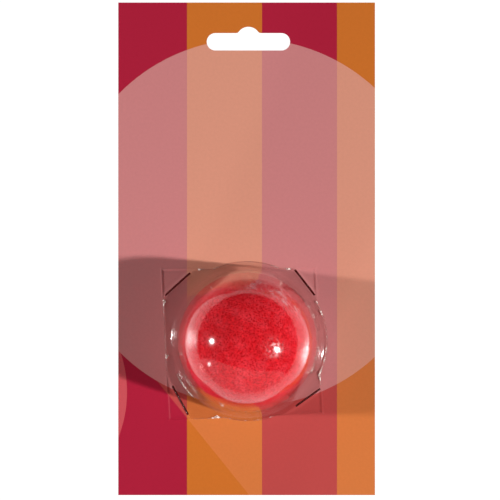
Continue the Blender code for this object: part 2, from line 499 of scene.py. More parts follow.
@dataclass(frozen=True)
class FoamFinish:
    """Deep red open-cell foam: matt, with small pores painted darker as shade in their hollows, soft
    brighter blotches, and a painted shade towards its outline.
    """

    skin: Colour = (0.82, 0.021, 0.034)
    pore_shade: Colour = (0.52, 0.0028, 0.0065)
    flush: Colour = (0.85, 0.043, 0.062)
    pore_size: float = 0.00080
    fine_pore_size: float = 0.00045
    blotch_size: float = 0.0050
    pore_depth: float = 0.000045
    grain_size: float = 0.0010
    grain: float = 1.0
    painted_side_shade: float = 0.34
    depth_of_glow: float = 0.006
    glow_reach: Colour = (1.0, 0.12, 0.12)
    glow_share: float = 0.60
    roughness: float = 0.9
    specular: float = 0.05

    def build(self) -> bpy.types.Material:
        """Pores dent a blotched and grained red skin and are painted darker, as shade in their
        hollows, and a painted shade darkens the skin towards its outline as the camera sees it.
        """
        graph = Graph("red_foam_skin")
        place = graph.place()
        height = self.pore_height(graph, place)
        blotch = graph.step(graph.noise(place, self.blotch_size, 2.0), 0.42, 0.66)
        skin = graph.mix(blotch, self.skin, self.flush)
        # Painted shade: the pores' hollows are darker than the skin.
        colour = graph.mix(graph.step(height, 0.05, 0.90), self.pore_shade, skin)
        # Painted shade: darker towards the outline, by the angle of view.
        painted_shade = graph.math("MULTIPLY_ADD", graph.facing(), -self.painted_side_shade, 1.0)
        grain = graph.noise(place, self.grain_size, 3.0, 0.65)
        grain = graph.math("MULTIPLY_ADD", grain, self.grain, 1.0 - self.grain / 2)
        colour = graph.mix(1.0, colour, graph.math("MULTIPLY", painted_shade, grain), "MULTIPLY")
        inputs = {
            "Base Color": colour,
            "Roughness": self.roughness,
            "Subsurface Weight": self.glow_share,
            "Subsurface Radius": self.glow_reach,
            "Subsurface Scale": self.depth_of_glow,
            "Specular IOR Level": self.specular,
            "Normal": graph.bump(height, self.pore_depth),
        }
        return graph.finish(graph.node("ShaderNodeBsdfPrincipled", inputs))

    def pore_height(self, graph: Graph, place: bpy.types.NodeSocket) -> bpy.types.NodeSocket:
        """Height of the skin between two sizes of pore, which noise bends out of round.

        Args:
            graph: the material's graph.
            place: the surface point.

        Returns:
            The height, 0 in the middle of a large pore and 1 between pores: that of the large
            pores, times 0.4 and 0.6 of that of the fine ones.
        """
        warp = graph.node("ShaderNodeTexNoise", {"Vector": place, "Scale": 0.5 / self.pore_size})
        inputs = {0: warp.outputs["Color"], "Scale": 0.8 * self.pore_size}
        shift = graph.node("ShaderNodeVectorMath", inputs, operation="SCALE").outputs[0]
        inputs = {0: place, 1: shift}
        warped = graph.node("ShaderNodeVectorMath", inputs, operation="ADD").outputs[0]
        large = graph.step(graph.cells(warped, self.pore_size), 0.05, 0.55)
        fine = graph.step(graph.cells(warped, self.fine_pore_size), 0.05, 0.60)
        return graph.math("MULTIPLY", large, graph.math("MULTIPLY_ADD", fine, 0.6, 0.4))


@dataclass(frozen=True)
class SheetFinish:
    """Clear glossy sheet: it lets light straight through and mirrors more at a glance. It is
    crazed with fine white lines where it is crumpled, and a patch of its crown is rubbed."""

    tint: Colour = (0.976, 0.960, 0.958)
    mirrored: Colour = (1.0, 1.0, 1.0)
    straight_gloss: float = 0.033
    roughness: float = 0.09
    ripple_size: float = 0.006
    ripple_depth: float = 0.00003
    craze: Colour = (0.95, 0.80, 0.84)
    craze_pitch: float = 2.3
    craze_width: float = 0.30
    craze_wander: float = 4.0
    craze_size: float = 0.0022
    craze_share: float = 0.48
    rubbed_place: tuple[float, float, float] = (0.0088, -0.0358, 0.0440)
    rubbed_reach: float = 0.0066
    rubbed_roughness: float = 0.30
    rubbed_size: float = 0.0012

    def build(self) -> bpy.types.Material:
        """A clear shader and a mirror, whose share is s + (1 - s) f^5, with s the share looking
        straight at it and f one less the cosine of the angle of view.

        Returns:
            The material.
        """
        graph = Graph("clear_sheet")
        place = graph.place()
        glance = graph.math("POWER", graph.facing(), 5.0)
        inputs = {"Value": glance, "To Min": self.straight_gloss}
        share = graph.node("ShaderNodeMapRange", inputs).outputs["Result"]
        through = graph.node("ShaderNodeBsdfTransparent", {"Color": self.tint})
        inputs = {
            "Color": self.mirrored,
            "Roughness": self.roughness,
            "Normal": graph.bump(graph.noise(place, self.ripple_size), self.ripple_depth),
        }
        smooth = graph.node("ShaderNodeBsdfGlossy", inputs)
        inputs = {"Color": self.mirrored, "Roughness": self.rubbed_roughness}
        rubbed = graph.node("ShaderNodeBsdfGlossy", inputs)
        mirror = graph.blend(self.rubbed_share(graph, place), smooth, rubbed)
        clear = graph.blend(share, through, mirror)
        white = graph.node("ShaderNodeBsdfDiffuse", {"Color": self.craze})
        return graph.finish(graph.blend(self.crazed_share(graph, place), clear, white))

    def rubbed_share(self, graph: Graph, place: bpy.types.NodeSocket) -> bpy.types.NodeSocket:
        """How far fine scratches blur the mirror: a patch of the crown, broken up by noise.

        Args:
            graph: the material's graph.
            place: the surface point.

        Returns:
            The share, which fades to 0 at the patch's reach.
        """
        away = graph.distance(place, self.rubbed_place)
        near = graph.step(away, self.rubbed_reach, 0.3 * self.rubbed_reach)
        scratches = graph.step(graph.noise(place, self.rubbed_size, 3.0, 0.6), 0.47, 0.62)
        return graph.math("MULTIPLY", near, scratches)

    def crazed_share(self, graph: Graph, place: bpy.types.NodeSocket) -> bpy.types.NodeSocket:
        """The share of white: thin lines at an even pitch of the sheet's own line attribute,
        made to wander and broken up by two noises.

        Args:
            graph: the material's graph.
            place: the surface point.

        Returns:
            The share, 0 wherever the sheet isn't crumpled.
        """
        near = graph.attribute(CRUMPLE)
        wander = graph.noise(place, self.craze_size, 3.0)
        lines = graph.math("MULTIPLY_ADD", wander, self.craze_wander, graph.attribute(CRUMPLE_LINES))
        away = graph.math("PINGPONG", lines, self.craze_pitch / 2)
        line = graph.step(away, self.craze_width * self.craze_pitch / 2, 0.0)
        broken = graph.step(graph.noise(place, 1.4 * self.craze_size, 2.0), 0.46, 0.60)
        share = graph.math("MULTIPLY", graph.math("MULTIPLY", line, broken), near)
        return graph.math("MULTIPLY", share, self.craze_share)


@dataclass(frozen=True)
class CutEdgeFinish:
    """Die-cut edge of the clear sheet: a smoky tint that is painted shade along the edge, and pale
    flecks that are partly crushed plastic and partly painted glints where the edge catches the
    lamps.
    """

    tint: Colour = (0.90, 0.84, 0.82)
    glint_fleck: Colour = (0.95, 0.88, 0.80)
    fleck_size: float = 0.0007
    stray_flecks: float = 0.16
    crush_glint_base: float = 0.25
    roughness: float = 0.3
    specular: float = 0.8

    def build(self) -> bpy.types.Material:
        """A smoky clear shader, whose tint is painted shade along the edge, mixed with pale flecks
        that are partly crushed plastic and partly painted glints, whose share the sheet's own
        crush and glint attribute raises.

        Returns:
            The material.
        """
        graph = Graph("cut_sheet_edge")
        # Pale flecks: partly crushed plastic, partly painted glints where the edge catches the
        # lamps.
        flecked = graph.step(graph.noise(graph.place(), self.fleck_size, 3.0, 0.6), 0.50, 0.60)
        crush_glint = graph.attribute(CRUSH_GLINT)
        share = graph.math("MULTIPLY", flecked, graph.math("ADD", crush_glint, self.stray_flecks))
        share = graph.math("MULTIPLY_ADD", crush_glint, self.crush_glint_base, share)
        # Painted shade: the smoky tint darkens what is seen through the cut edge.
        through = graph.node("ShaderNodeBsdfTransparent", {"Color": self.tint})
        inputs = {
            "Base Color": self.glint_fleck,
            "Roughness": self.roughness,
            "Specular IOR Level": self.specular,
        }
        solid = graph.node("ShaderNodeBsdfPrincipled", inputs)
        return graph.finish(graph.blend(share, through, solid))


@dataclass(frozen=True)
class Overlay:
    """A tint laid over part of the print: its colour and the share of the print it hides."""

    colour: Colour
    share: float


@dataclass(frozen=True)
class PrintFinish:
    """Varnished print: crimson and orange stripes under a pale disc, a faint pale lower corner
    and a crescent at the left edge."""

    crimson: Colour = (0.366, 0.0104, 0.0350)
    orange: Colour = (0.540, 0.1430, 0.0190)
    disc: Overlay = Overlay((0.728, 0.408, 0.375), 0.45)
    corner: Overlay = Overlay((0.745, 0.252, 0.134), 0.20)
    crescent: Overlay = Overlay((0.810, 0.190, 0.183), 0.35)
    stripe_width: float = 0.02878
    first_stripe_edge: float = -0.02287
    disc_centre: Point = (0.0012, 0.0101)
    disc_radius: float = 0.07045
    corner_line: tuple[Point, Point] = ((-0.0325, -0.0530), (0.0002, -0.0935))
    crescent_centre: Point = (-0.0935, -0.0549)
    crescent_radius: float = 0.0476
    light_falloff: Point = (1.04, 0.985)
    light_falloff_reach: float = 0.0945
    mottle_size: float = 0.0011
    mottle: float = 0.05
    tooth_size: float = 0.0006
    tooth: float = 0.00001
    roughness: float = 0.34
    specular: float = 0.3

    def build(self) -> bpy.types.Material:
        """Each tint is laid over the stripes inside its own outline, and a painted shade darkens
        the print a little towards the top, where the lamps' light falls off.

        Returns:
            The material.
        """
        graph = Graph("varnished_print")
        place = graph.place()
        across = graph.node("ShaderNodeSeparateXYZ", {0: place}).outputs
        flat = graph.node("ShaderNodeCombineXYZ", {0: across[0], 1: across[1]}).outputs[0]
        count = graph.math("SUBTRACT", across[0], self.first_stripe_edge)
        count = graph.math("FLOOR", graph.math("DIVIDE", count, self.stripe_width))
        colour = graph.mix(graph.math("PINGPONG", count, 1.0), self.orange, self.crimson)
        in_disc = self.within(graph, flat, self.disc_centre, self.disc_radius)
        outside = graph.math("SUBTRACT", 1.0, in_disc)
        low = graph.math("LESS_THAN", across[1], self.disc_centre[1])
        low = graph.math("MULTIPLY", low, outside)
        in_corner = graph.math("MULTIPLY", self.past_line(graph, flat), low)
        in_crescent = self.within(graph, flat, self.crescent_centre, self.crescent_radius)
        in_crescent = graph.math("MULTIPLY", in_crescent, low)
        layers = ((in_disc, self.disc), (in_corner, self.corner), (in_crescent, self.crescent))
        for inside, overlay in layers:
            share = graph.math("MULTIPLY", inside, overlay.share)
            colour = graph.mix(share, colour, overlay.colour)
        # Painted shade: the print is a little darker towards the top.
        inputs = {
            "Value": across[1],
            "From Min": -self.light_falloff_reach,
            "From Max": self.light_falloff_reach,
            "To Min": self.light_falloff[0],
            "To Max": self.light_falloff[1],
        }
        painted_falloff = graph.node("ShaderNodeMapRange", inputs).outputs["Result"]
        grain = graph.noise(place, self.mottle_size, 3.0)
        grain = graph.math("MULTIPLY_ADD", grain, 2 * self.mottle, 1.0 - self.mottle)
        colour = graph.mix(1.0, colour, graph.math("MULTIPLY", painted_falloff, grain), "MULTIPLY")
        inputs = {
            "Base Color": colour,
            "Roughness": self.roughness,
            "Specular IOR Level": self.specular,
            "Normal": graph.bump(graph.noise(place, self.tooth_size, 2.0), self.tooth),
        }
        return graph.finish(graph.node("ShaderNodeBsdfPrincipled", inputs))

    @staticmethod
    def within(
        graph: Graph, flat: bpy.types.NodeSocket, centre: Point, radius: float
    ) -> bpy.types.NodeSocket:
        """1 inside a circle of the print, 0 outside."""
        return graph.math("LESS_THAN", graph.distance(flat, (*centre, 0.0)), radius)

    def past_line(self, graph: Graph, flat: bpy.types.NodeSocket) -> bpy.types.NodeSocket:
        """Which side of the pale corner's line a place of the print is on.

        Args:
            graph: the material's graph.
            flat: the surface point, at height 0.

        Returns:
            1 to the upper right of the line, 0 on its other side.
        """
        (start_x, start_y), (end_x, end_y) = self.corner_line
        length = math.hypot(end_x - start_x, end_y - start_y)
        normal = ((start_y - end_y) / length, (end_x - start_x) / length, 0.0)
        inputs = {0: flat, 1: normal}
        side = graph.node("ShaderNodeVectorMath", inputs, operation="DOT_PRODUCT")
        level = start_x * normal[0] + start_y * normal[1]
        return graph.math("GREATER_THAN", side.outputs["Value"], level)


@dataclass(frozen=True)
class BoardFinish:
    """Unprinted paper board."""

    name: str
    pale: Colour
    dark: Colour
    fibre_size: float = 0.0007
    tooth: float = 0.00003
    roughness: float = 0.9
    specular: float = 0.2

    def build(self) -> bpy.types.Material:
        """Two tones in long soft fibres, with a slight tooth.

        Returns:
            The material.
        """
        graph = Graph(self.name)
        place = graph.place()
        long = graph.node("ShaderNodeMapping", {"Vector": place, "Scale": (1.0, 0.3, 1.0)})
        fibres = graph.noise(long.outputs[0], self.fibre_size, 4.0, 0.6)
        colour = graph.mix(graph.step(fibres, 0.3, 0.7), self.dark, self.pale)
        inputs = {
            "Base Color": colour,
            "Roughness": self.roughness,
            "Specular IOR Level": self.specular,
            "Normal": graph.bump(fibres, self.tooth),
        }
        return graph.finish(graph.node("ShaderNodeBsdfPrincipled", inputs))


@dataclass(frozen=True)
class FloorFinish:
    """Pale glossy table that glows evenly, but for the patch that the card covers, which glows a dim
    red: painted light that shows through the card's slots as red shade.
    """

    base: Colour = (0.06, 0.06, 0.06)
    glow: float = 1.09
    roughness: float = 0.27
    specular: float = 1.0
    coat_ior: float = 1.8
    # Painted light: a dim red glow under the card, seen through its slots.
    covered_light: Colour = (0.060, 0.005, 0.005)
    covered: tuple[Point, Point] = ((-0.044, -0.088), (0.044, 0.050))
    soft: float = 0.003
    coat: float = 1.0

    def build(self) -> bpy.types.Material:
        """A glow that dims inside the patch, whose share is the product of four steps, one in
        from each of its sides.

        Returns:
            The material.
        """
        graph = Graph("pale_table")
        across = graph.node("ShaderNodeSeparateXYZ", {0: graph.place()}).outputs
        (left, bottom), (right, top) = self.covered
        inside: Socket = 1.0
        for axis, side, inner in (
            (0, left, left + self.soft),
            (0, right, right - self.soft),
            (1, bottom, bottom + self.soft),
            (1, top, top - self.soft),
        ):
            inside = graph.math("MULTIPLY", inside, graph.step(across[axis], side, inner))
        light = graph.mix(inside, (self.glow,) * 3, self.covered_light)
        inputs = {
            "Base Color": self.base,
            "Roughness": self.roughness,
            "Specular IOR Level": self.specular,
            "Coat Weight": self.coat,
            "Coat Roughness": self.roughness,
            "Coat IOR": self.coat_ior,
            "Emission Color": light,
            "Emission Strength": 1.0,
        }
        return graph.finish(graph.node("ShaderNodeBsdfPrincipled", inputs))


# The pieces

@dataclass
class FoamNose:
    """The foam ball as its blister presses it, with the slit pocket in its foot."""

    centre: Point
    foot_level: float
    crown_radius: float = 0.0243
    foot_radius: float = 0.014
    height: float = 0.0436
    waist_height: float = 0.0095
    waist_pull: float = 0.0045
    foot_pull: float = 0.0085
    draft: float = 10.0
    pocket_length: float = 0.026
    pocket_width: float = 0.012
    pocket_depth: float = 0.028
    pocket_sections: tuple[tuple[float, float, float], ...] = (
        # (share of depth, share of length, share of width)
        (0.0, 1.0, 1.0),
        (0.3, 0.96, 0.95),
        (0.6, 0.86, 0.84),
        (0.85, 0.68, 0.64),
        (1.0, 0.42, 0.34),
    )
    columns: int = 500
    skin_rows: int = 146
    foot_rows: int = 6
    pocket_rows: int = 26
    crown_steps: int = 90
    flank_points: int = 30
    foot_points: int = 60
    lump: float = 0.00010
    lump_size: float = 0.0042
    crumb: float = 0.00010
    crumb_size: float = 0.0011
    fine_crumb_size: float = 0.000605
    fine_crumb_share: float = 0.6
    smooth_foot: float = 0.001

    def skin_profile(self) -> np.ndarray:
        """The skin from the crown to the foot's rim: an arc down to the draft, a straight flank
        down to the waist, and the cubic curve sum of w_i p_i with the weights (1-s)^3,
        3s(1-s)^2, 3s^2(1-s) and s^3, which leaves the waist at the draft and reaches the foot
        level.

        Returns:
            (n, 2) array of radius and height.
        """
        draft = math.radians(self.draft)
        middle = (0.0, self.height - self.crown_radius)
        crown = arc(middle, self.crown_radius, 90, self.draft, self.crown_steps)
        drop = crown[-1, 1] - self.waist_height
        waist = crown[-1] + drop * np.array([math.tan(draft), -1.0])
        share = np.linspace(0.0, 1.0, self.flank_points)[1:, None]
        flank = crown[-1] + (waist - crown[-1]) * share
        pull = self.waist_pull * np.array([math.sin(draft), -math.cos(draft)])
        foot = np.array([self.foot_radius, 0.0])
        controls = np.array([waist, waist + pull, foot + (self.foot_pull, 0.0), foot])
        share = np.linspace(0.0, 1.0, self.foot_points)[1:]
        rest = 1.0 - share
        weights = [rest**3, 3 * share * rest**2, 3 * share**2 * rest, share**3]
        return np.concatenate([crown, flank, np.stack(weights, axis=1) @ controls])

    def lens_reach(
        self, angles: np.ndarray, length: float | np.ndarray, width: float | np.ndarray
    ) -> np.ndarray:
        """Distance from the middle of a lens to its outline.

        Args:
            angles: directions in radians, from +X.
            length: the lens's length along Y, or a column of lengths.
            width: its width along X, or a column of widths.

        Returns:
            The distance r at which a ray meets the arc of radius R about (-o, 0), where
            R = (l^2 + w^2) / 2w for half sizes l and w and o = R - w:
            r = sqrt(R^2 - o^2 sin^2) - o |cos|.
        """
        half_length, half_width = length / 2, width / 2
        radius = (half_length**2 + half_width**2) / (2 * half_width)
        offset = radius - half_width
        return np.sqrt(radius**2 - (offset * np.sin(angles)) ** 2) - offset * np.abs(np.cos(angles))

    def rows(self, angles: np.ndarray) -> tuple[np.ndarray, np.ndarray]:
        """The whole surface as rings about the ball's axis.

        Args:
            angles: directions of the columns, in radians.

        Returns:
            (rings, columns) arrays of radius and of height: down the skin, across the foot to
            the pocket's mouth, and up the pocket to its narrow end.
        """
        profile = evenly_spaced(self.skin_profile(), self.skin_rows + 1)[1:]
        ones = np.ones_like(angles)
        radius = [profile[:, :1] * ones]
        height = [profile[:, 1:] * ones]
        mouth = self.lens_reach(angles, self.pocket_length, self.pocket_width)
        share = np.linspace(0.0, 1.0, self.foot_rows + 1)[1:-1, None]
        radius.append(self.foot_radius + (mouth - self.foot_radius) * share)
        height.append(np.zeros_like(radius[-1]))
        depth, length, width = np.array(self.pocket_sections).T
        levels = np.linspace(0.0, 1.0, self.pocket_rows)
        lengths = self.pocket_length * np.interp(levels, depth, length)
        widths = self.pocket_width * np.interp(levels, depth, width)
        radius.append(self.lens_reach(angles, lengths[:, None], widths[:, None]))
        height.append(levels[:, None] * self.pocket_depth * ones)
        return np.concatenate(radius), np.concatenate(height)

    def build(self) -> bpy.types.Object:
        """Close the rings with a pole at the crown and one at the pocket's end, and crumble the
        skin.

        Returns:
            The ball.
        """
        angles = np.arange(self.columns) * math.tau / self.columns
        radius, height = self.rows(angles)
        rings = len(radius)
        points = np.stack(
            [
                self.centre[0] + radius * np.cos(angles),
                self.centre[1] + radius * np.sin(angles),
                self.foot_level + height,
            ],
            axis=-1,
        ).reshape(-1, 3)
        crown = (*self.centre, self.foot_level + self.height)
        end = (*self.centre, self.foot_level + self.pocket_depth)
        points = np.concatenate([points, [crown, end]])
        first = np.arange(self.columns)
        last = first + (rings - 1) * self.columns
        faces = [
            grid_quads(rings, self.columns, closed=True),
            fan(len(points) - 2, first),
            fan(len(points) - 1, last[::-1]),
        ]
        ball = make_object("foam_ball", points, faces)
        self.crumble(ball, points)
        return ball

    def crumble(self, ball: bpy.types.Object, points: np.ndarray) -> None:
        """Press lumps and crumbs into the surface, along its own normals.

        The sink is a (1 - n) / 2 for soft lumps and b (1 - |m|)^3 for narrow furrows, with n
        and m two noises. It fades out towards the flat foot.

        Args:
            ball: the smooth ball.
            points: its vertices.
        """
        normals = np.empty(len(points) * 3, dtype=np.float32)
        ball.data.vertices.foreach_get("normal", normals)
        soft = LatticeNoise(11)(points, self.lump_size)
        furrow = (1.0 - np.abs(LatticeNoise(12)(points, self.crumb_size))) ** 3
        fine = (1.0 - np.abs(LatticeNoise(13)(points, self.fine_crumb_size))) ** 3
        sink = self.lump * (1.0 - soft) / 2
        sink += self.crumb * (furrow + self.fine_crumb_share * fine)
        sink *= eased(points[:, 2], self.foot_level, self.foot_level + self.smooth_foot)
        moved = points - normals.reshape(-1, 3) * sink[:, None]
        ball.data.vertices.foreach_set("co", moved.astype(np.float32).ravel())
        ball.data.update()

    def dress(self, ball: bpy.types.Object, finish: FoamFinish) -> None:
        """Give the ball its foam and its place on the part."""
        add_piece(ball, "nose", [finish.build()])


@dataclass
class Blister:
    """The clear sheet: a dome on a drafted skirt, a flange, and tabs behind the card."""

    dome_centre: Point = (0.0003, -0.0354)
    dome_radius: float = 0.025
    crown_centre: float = 0.02075
    flange_top: float = 0.0018
    tab_top: float = WALL
    draft: float = 10.0
    foot_fillet: float = 0.0016
    foot_rim: float = 0.0006
    flange_centre: Point = (-0.0018, -0.036)
    flange_size: Point = (0.059, 0.057)
    flange_turn: float = 2.8
    top_skew: float = 2.4
    fold_radius: float = 0.00045
    corner_folds: tuple[tuple[float, ...], ...] = (
        # (side across, side up, share of the width folded off, share of the length folded off,
        #  notch at the end on the width, notch at the end on the length)
        (1, 1, 0.137, 0.200, 0.0010, 0.0013),
        (-1, 1, 0.213, 0.185, 0.0025, 0.0015),
        (-1, -1, 0.140, 0.294, 0.0023, 0.0047),
        (1, -1, 0.247, 0.169, 0.0058, 0.0007),
    )
    columns: int = 300
    dome_rows: int = 100
    skirt_rows: int = 14
    fillet_rows: int = 8
    flange_rows: int = 6
    fold_steps: int = 4
    tab_rows: int = 8
    rim_steps: tuple[float, ...] = (0.0012, 0.0008, 0.0005, 0.0003, 0.00015, 0.0)
    rim_width: float = 0.00032
    rim_drop: float = 0.00012
    crush_glint_width: float = 0.0009
    # Places of the cut edge that are crushed and carry painted glints where the lamps catch it.
    crush_glint_places: tuple[Point, ...] = (
        # (bearing from the dome's centre, half the bearing that is crushed and painted with glints)
        (153.0, 4.0),
        (126.0, 3.0),
        (60.0, 1.2),
        (31.0, 3.0),
        (21.0, 1.8),
        (-6.5, 1.4),
        (-13.5, 1.4),
        (-24.0, 5.5),
        (-48.0, 2.0),
        (190.5, 1.4),
        (214.0, 6.5),
        (222.0, 2.0),
        (248.0, 2.5),
    )
    # A painted highlight: a stretch of the dome's foot takes the cut edge's pale flecks, as a
    # reflection on the fillet.
    foot_glint_bearing: float = 216.0
    foot_glint_spread: float = 11.0
    foot_glint_width: float = 0.00045
    waver: float = 0.00006
    waver_size: float = 0.011
    waver_rise: Point = (0.004, 0.012)
    crease: float = 0.00022
    crease_pitch: float = 4.4
    crease_wander: float = 3.4
    crease_wander_size: float = 0.0055
    crease_break_size: float = 0.003
    crumple_azimuths: tuple[float, ...] = (26.0, 42.0, 82.0, 98.0)
    crumple_elevations: tuple[float, ...] = (12.0, 18.0, 31.0, 39.0)

    def flange_points(self, shares: np.ndarray) -> np.ndarray:
        """Points given as shares of the flange's half sizes, in the card's axes.

        Args:
            shares: (..., 2) array, where (1, 1) is the upper right corner.

        Returns:
            (..., 2) array: scaled to the flange, skewed in proportion to the height above its
            lower side, turned with the flange and moved to its centre.
        """
        points = shares * np.array(self.flange_size) / 2
        lean = math.tan(math.radians(self.top_skew)) * (1 + shares[..., 1]) / 2
        points[..., 1] -= points[..., 0] * lean
        return turned(points, self.flange_turn) + self.flange_centre

    def corners(self) -> np.ndarray:
        """(4, 2) array of the flange's corners, in the order of the folds."""
        return self.flange_points(np.array(self.corner_folds)[:, :2])

    def sides(self) -> np.ndarray:
        """(4, 2, 2) array of the ends of the flange's four sides, before it is folded."""
        return np.stack([self.corners(), np.roll(self.corners(), -1, axis=0)], axis=1)

    def fold_lines(self) -> np.ndarray:
        """Where each fold meets the flange's sides.

        Returns:
            (4, 2, 2) array: the fold's ends on the flange's width and on its length.
        """
        across, up, wide, high = np.array(self.corner_folds).T[:4]
        on_width = np.stack([across * (1 - 2 * wide), up], axis=1)
        on_length = np.stack([across, up * (1 - 2 * high)], axis=1)
        return self.flange_points(np.stack([on_width, on_length], axis=1))

    def webs(self) -> np.ndarray:
        """The webs that pass down through the card: the folds less a notch at each end.

        Returns:
            (4, 2, 2) array of their ends, in order of turning left about the dome.
        """
        lines = self.fold_lines()
        along = lines[:, 1] - lines[:, 0]
        along /= np.linalg.norm(along, axis=1, keepdims=True)
        notches = np.array(self.corner_folds)[:, 4:]
        starts = lines[:, 0] + along * notches[:, :1]
        stops = lines[:, 1] - along * notches[:, 1:]
        ends = np.stack([starts, stops], axis=1)
        middle = self.bearings(self.corners())[:, None]
        offset = (self.bearings(ends) - middle + math.pi) % math.tau
        order = np.argsort(offset, axis=1)
        return np.take_along_axis(ends, order[:, :, None], axis=1)

    def bearings(self, points: np.ndarray) -> np.ndarray:
        """Directions from the dome's centre to points, in radians from 0 to a full turn."""
        way = points - np.array(self.dome_centre)
        return np.arctan2(way[..., 1], way[..., 0]) % math.tau

    def reach(self, angles: np.ndarray, lines: np.ndarray) -> np.ndarray:
        """Distance from the dome's centre to the nearest of some lines.

        Args:
            angles: (n,) directions in radians.
            lines: (m, 2, 2) array of the two ends of each line.

        Returns:
            (n,) array: the least of d / (w . n), with d a line's distance, n its normal and w
            the direction, over the lines that the direction runs towards.
        """
        ways = np.stack([np.cos(angles), np.sin(angles)], axis=1)
        along = lines[:, 1] - lines[:, 0]
        along /= np.linalg.norm(along, axis=1, keepdims=True)
        normals = np.stack([along[:, 1], -along[:, 0]], axis=1)
        distances = ((lines[:, 0] - self.dome_centre) * normals).sum(axis=1)
        normals *= np.sign(distances)[:, None]
        facing = ways @ normals.T
        ratios = np.abs(distances) / np.maximum(facing, 1e-9)
        return ratios.min(axis=1)

    def directions(self) -> np.ndarray:
        """The columns' bearings: even steps, and the exact ones of corners, folds and webs.

        Returns:
            (n,) array in radians, in rising order, without the even steps beside an exact one.
        """
        marks = (self.corners(), self.fold_lines(), self.webs())
        exact = np.concatenate([self.bearings(points).ravel() for points in marks])
        step = math.tau / self.columns
        even = np.arange(self.columns) * step
        away = np.abs((even[:, None] - exact + math.pi) % math.tau - math.pi).min(axis=1)
        return np.sort(np.concatenate([exact, even[away > 0.4 * step]]))

    def profile(self) -> np.ndarray:
        """The outer face from near the top to the fillet's end: an arc down to the draft, a
        straight skirt and a fillet that turns out flat.

        Returns:
            (n, 2) array of radius and height.
        """
        draft = math.radians(self.draft)
        dome = arc((0.0, self.crown_centre), self.dome_radius, 90, self.draft, self.dome_rows)
        height = self.flange_top + self.foot_fillet
        rise = (height - self.crown_centre) * math.sin(draft)
        radius = (self.dome_radius + self.foot_fillet - rise) / math.cos(draft)
        fillet = arc((radius, height), self.foot_fillet, 180 + self.draft, 270, self.fillet_rows)
        share = np.linspace(0.0, 1.0, self.skirt_rows + 2)[1:-1, None]
        skirt = dome[-1] + (fillet[0] - dome[-1]) * share
        return np.concatenate([dome[1:], skirt, fillet])

    def main_rings(self, angles: np.ndarray) -> tuple[np.ndarray, np.ndarray]:
        """The sheet above the card as rings.

        Args:
            angles: the columns' bearings.

        Returns:
            (rings, columns) arrays of radius and height. The flange's rings share out the way
            from the fillet to its edge, and the last ones droop as a die leaves them.
        """
        profile = self.profile()
        ones = np.ones_like(angles)
        edge, fold = self.outline(angles)
        inner = np.maximum(edge - self.rim_steps[0], profile[-1, 0] + 0.1 * self.foot_rim)
        share = np.linspace(0.0, 1.0, self.flange_rows + 1)[1:-1, None]
        radius = [profile[:, :1] * ones, profile[-1, 0] + (inner - profile[-1, 0]) * share]
        height = [profile[:, 1:] * ones, np.full_like(radius[-1], self.flange_top)]
        for step in self.rim_steps:
            radius.append((edge - (edge - inner) * step / self.rim_steps[0])[None])
            part = max(0.0, 1.0 - step / self.rim_width)
            droop = self.rim_drop * part**2 * eased(fold - edge, 0.0, 0.001)
            height.append((self.flange_top - droop)[None])
        return np.concatenate(radius), np.concatenate(height)

    def outline(self, angles: np.ndarray) -> tuple[np.ndarray, np.ndarray]:
        """The sheet's edge above the card and the start of its folds.

        Args:
            angles: bearings in radians.

        Returns:
            (n,) arrays of the distance from the dome's centre to each.
        """
        fold = self.reach(angles, self.fold_lines()) - self.fold_radius
        foot = self.profile()[-1, 0] + self.foot_rim
        edge = np.maximum(self.reach(angles, self.sides()), foot)
        return np.minimum(edge, fold), fold

    def crush_glint_share(self, angles: np.ndarray) -> np.ndarray:
        """How crushed the cut edge is, and how much glint is painted on it, at some bearings.

        Args:
            angles: bearings in radians.

        Returns:
            (n,) array: the sum of a bell exp(-((a - a0) / s)^2) for each crushed place, kept
            to 1.
        """
        total = np.zeros_like(angles)
        for bearing, spread in self.crush_glint_places:
            away = (np.degrees(angles) - bearing + 180.0) % 360.0 - 180.0
            total += np.exp(-((away / spread) ** 2))
        return np.minimum(total, 1.0)

    def tab_rings(self, angles: np.ndarray) -> tuple[np.ndarray, np.ndarray]:
        """A folded corner from the flange's edge to the tab's tip, as rings.

        Args:
            angles: the bearings between the web's ends.

        Returns:
            (rings, columns) arrays of radius and height: round the upper fold, down the web,
            round the lower fold and out to the edge behind the card.
        """
        bend = self.fold_radius
        fold = self.reach(angles, self.fold_lines())
        tip = np.maximum(self.reach(angles, self.sides()), fold + 1.02 * bend)
        upper = arc((-bend, self.flange_top - bend), bend, 90, 0, self.fold_steps)[1:]
        lower = arc((bend, self.tab_top + bend), bend, 180, 270, self.fold_steps)
        path = np.concatenate([upper, lower])
        radius = fold + path[:, :1]
        height = path[:, 1:] * np.ones_like(fold)
        share = np.linspace(0.0, 1.0, self.tab_rows + 1)[1:, None]
        out = fold + bend + (tip - fold - bend) * share
        flat = np.full_like(out, self.tab_top)
        return np.concatenate([radius, out]), np.concatenate([height, flat])

    def to_points(self, angles: np.ndarray, radius: np.ndarray, height: np.ndarray) -> np.ndarray:
        """Put rings round the dome's axis.

        Args:
            angles: the columns' bearings.
            radius: (rings, columns) array.
            height: (rings, columns) array, or one column of it.

        Returns:
            (n, 3) array of points: centre + radius (cos, sin), at their height.
        """
        x = self.dome_centre[0] + radius * np.cos(angles)
        y = self.dome_centre[1] + radius * np.sin(angles)
        return np.stack([x, y, np.broadcast_to(height, x.shape)], axis=-1).reshape(-1, 3)

